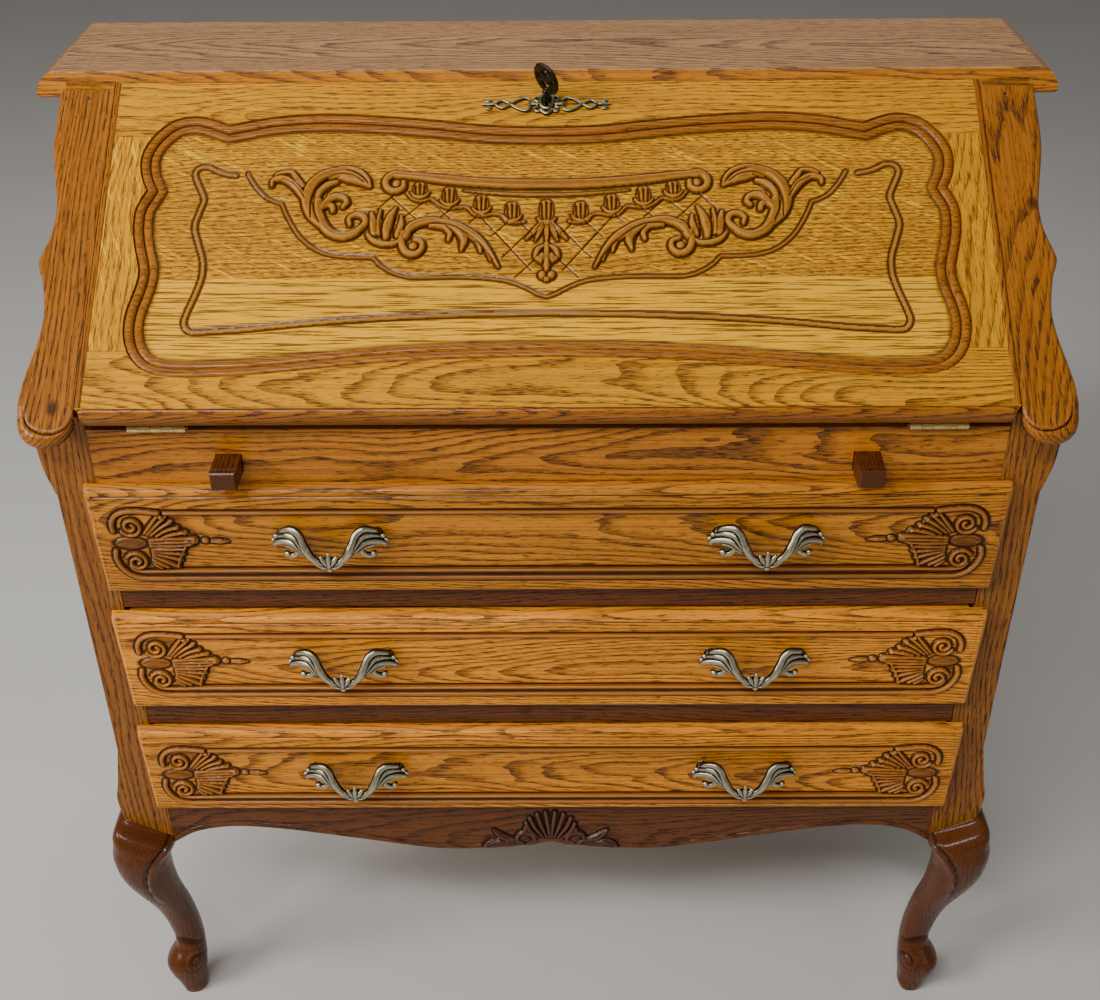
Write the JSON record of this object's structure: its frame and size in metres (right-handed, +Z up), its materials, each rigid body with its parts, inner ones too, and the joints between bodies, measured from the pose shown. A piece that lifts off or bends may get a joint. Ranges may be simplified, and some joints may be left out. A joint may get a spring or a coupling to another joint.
{
  "type": "secretary desk",
  "caption": "Fall-front oak secretary desk on cabriole legs, with carved and moulded drawer fronts, bow pulls, a sloping lockable fall on lopers and a pigeonhole interior.",
  "frame": {"origin": "middle of the desk's bounding box in X and Y, on the floor", "axes": "+Z up, -Y out of the drawer fronts, +X to the desk's left as it faces the sitter (the sitter's right)"},
  "size_m": [0.975, 0.4806, 1.0395],
  "materials": {
    "top_board": "satin lacquered oak, greyer brown",
    "top_rail": "plain oak, thin lacquer",
    "back_panel": "thin board, nearly matt",
    "writing_deck": "satin lacquered oak",
    "fascia_rail": "satin lacquered oak, mid red-brown",
    "divider_upper": "satin lacquered oak, mid red-brown",
    "divider_lower": "satin lacquered oak, mid red-brown",
    "front_apron": "satin lacquered oak, mid red-brown",
    "side_panel_left": "satin lacquered oak, mid red-brown",
    "side_panel_right": "satin lacquered oak, mid red-brown",
    "slope_stile_left": "satin lacquered oak, mid red-brown",
    "slope_stile_right": "satin lacquered oak, mid red-brown",
    "front_post_left": "satin lacquered oak, mid red-brown",
    "front_post_right": "satin lacquered oak, mid red-brown",
    "rear_post_left": "satin lacquered oak, mid red-brown",
    "rear_post_right": "satin lacquered oak, mid red-brown",
    "front_leg_left": "satin lacquered oak, dark stain",
    "front_leg_right": "satin lacquered oak, dark stain",
    "rear_leg_left": "satin lacquered oak, dark stain",
    "rear_leg_right": "satin lacquered oak, dark stain",
    "loper_guide_left": "plain oak, thin lacquer",
    "loper_guide_right": "plain oak, thin lacquer",
    "hinge_fixed_leaf_left": "bright brass",
    "hinge_fixed_leaf_right": "bright brass",
    "hinge_pin_left": "bright brass",
    "hinge_pin_right": "bright brass",
    "runner_frame_upper": "plain oak, thin lacquer",
    "runner_frame_middle": "plain oak, thin lacquer",
    "runner_frame_lower": "plain oak, thin lacquer",
    "pigeonhole_unit": "satin lacquered oak",
    "fall_bottom_rail": "satin lacquered golden oak",
    "fall_top_rail": "satin lacquered golden oak",
    "fall_stile_left": "satin lacquered golden oak",
    "fall_stile_right": "satin lacquered golden oak",
    "fall_panel": "satin lacquered golden oak",
    "fall_nosing": "satin lacquered oak, mid red-brown",
    "lock_case": "plain steel",
    "escutcheon": "antique brass, silvered, dark in the recesses",
    "hinge_moving_leaf_left": "bright brass",
    "hinge_moving_leaf_right": "bright brass",
    "key": "dark bronze patina",
    "lock_bolt": "plain steel",
    "loper_left": "satin lacquered oak, dark stain",
    "loper_right": "satin lacquered oak, dark stain",
    "drawer_front_upper": "satin lacquered golden oak",
    "drawer_box_upper": "plain oak, thin lacquer",
    "pull_upper_left": "antique brass, silvered, dark in the recesses",
    "pull_upper_right": "antique brass, silvered, dark in the recesses",
    "drawer_front_middle": "satin lacquered golden oak",
    "drawer_box_middle": "plain oak, thin lacquer",
    "pull_middle_left": "antique brass, silvered, dark in the recesses",
    "pull_middle_right": "antique brass, silvered, dark in the recesses",
    "drawer_front_lower": "satin lacquered golden oak",
    "drawer_box_lower": "plain oak, thin lacquer",
    "pull_lower_left": "antique brass, silvered, dark in the recesses",
    "pull_lower_right": "antique brass, silvered, dark in the recesses",
    "small_drawer_left": "satin lacquered oak",
    "small_knob_left": "antique brass, silvered, dark in the recesses",
    "small_drawer_right": "satin lacquered oak",
    "small_knob_right": "antique brass, silvered, dark in the recesses"
  },
  "bodies": {
    "carcass": {"top_board": "top_board", "top_rail": "top_rail", "back_panel": "back_panel", "writing_deck": "writing_deck", "fascia_rail": "fascia_rail", "divider_upper": "divider_upper", "divider_lower": "divider_lower", "front_apron": "front_apron", "side_panel_left": "side_panel_left", "side_panel_right": "side_panel_right", "slope_stile_left": "slope_stile_left", "slope_stile_right": "slope_stile_right", "front_post_left": "front_post_left", "front_post_right": "front_post_right", "rear_post_left": "rear_post_left", "rear_post_right": "rear_post_right", "front_leg_left": "front_leg_left", "front_leg_right": "front_leg_right", "rear_leg_left": "rear_leg_left", "rear_leg_right": "rear_leg_right", "loper_guide_left": "loper_guide_left", "loper_guide_right": "loper_guide_right", "hinge_fixed_leaf_left": "hinge_fixed_leaf_left", "hinge_fixed_leaf_right": "hinge_fixed_leaf_right", "hinge_pin_left": "hinge_pin_left", "hinge_pin_right": "hinge_pin_right", "runner_frame_upper": "runner_frame_upper", "runner_frame_middle": "runner_frame_middle", "runner_frame_lower": "runner_frame_lower", "pigeonhole_unit": "pigeonhole_unit"},
    "fall": {"fall_bottom_rail": "fall_bottom_rail", "fall_top_rail": "fall_top_rail", "fall_stile_left": "fall_stile_left", "fall_stile_right": "fall_stile_right", "fall_panel": "fall_panel", "fall_nosing": "fall_nosing", "lock_case": "lock_case", "escutcheon": "escutcheon", "hinge_moving_leaf_left": "hinge_moving_leaf_left", "hinge_moving_leaf_right": "hinge_moving_leaf_right"},
    "key": {"key": "key"},
    "bolt": {"lock_bolt": "lock_bolt"},
    "loper_left": {"loper_left": "loper_left"},
    "loper_right": {"loper_right": "loper_right"},
    "drawer_upper": {"drawer_front_upper": "drawer_front_upper", "drawer_box_upper": "drawer_box_upper", "pull_upper_left": "pull_upper_left", "pull_upper_right": "pull_upper_right"},
    "drawer_middle": {"drawer_front_middle": "drawer_front_middle", "drawer_box_middle": "drawer_box_middle", "pull_middle_left": "pull_middle_left", "pull_middle_right": "pull_middle_right"},
    "drawer_lower": {"drawer_front_lower": "drawer_front_lower", "drawer_box_lower": "drawer_box_lower", "pull_lower_left": "pull_lower_left", "pull_lower_right": "pull_lower_right"},
    "small_drawer_left": {"small_drawer_left": "small_drawer_left", "small_knob_left": "small_knob_left"},
    "small_drawer_right": {"small_drawer_right": "small_drawer_right", "small_knob_right": "small_knob_right"}
  },
  "joints": [
    {"name": "fall_hinge", "type": "hinge", "parent": "carcass", "child": "fall", "pos_m": [0, -0.20355, 0.7857], "axis": [1, 0, 0], "range_deg": [0, 145.5]},
    {"name": "loper_left_slide", "type": "slide", "parent": "carcass", "child": "loper_left", "axis": [0, -1, 0], "range_m": [0, 0.278]},
    {"name": "loper_right_slide", "type": "slide", "parent": "carcass", "child": "loper_right", "axis": [0, -1, 0], "range_m": [0, 0.278]},
    {"name": "drawer_upper_slide", "type": "slide", "parent": "carcass", "child": "drawer_upper", "axis": [0, -1, 0], "range_m": [0, 0.28]},
    {"name": "drawer_middle_slide", "type": "slide", "parent": "carcass", "child": "drawer_middle", "axis": [0, -1, 0], "range_m": [0, 0.28]},
    {"name": "drawer_lower_slide", "type": "slide", "parent": "carcass", "child": "drawer_lower", "axis": [0, -1, 0], "range_m": [0, 0.28]},
    {"name": "small_drawer_left_slide", "type": "slide", "parent": "carcass", "child": "small_drawer_left", "axis": [0, -1, 0], "range_m": [0, 0.1]},
    {"name": "small_drawer_right_slide", "type": "slide", "parent": "carcass", "child": "small_drawer_right", "axis": [0, -1, 0], "range_m": [0, 0.1]},
    {"name": "key_turn", "type": "hinge", "parent": "fall", "child": "key", "pos_m": [0, 0.048, 0.99462], "axis": [0, -0.5664, 0.8241], "range_deg": [0, 90]},
    {"name": "bolt_throw", "type": "slide", "parent": "fall", "child": "bolt", "axis": [0, 0.8241, 0.5664], "range_m": [0, 0.006]}
  ],
  "couplings": [
    {"joint": "bolt_throw", "follows": "key_turn", "m_per_rad": 0.0038196}
  ]
}
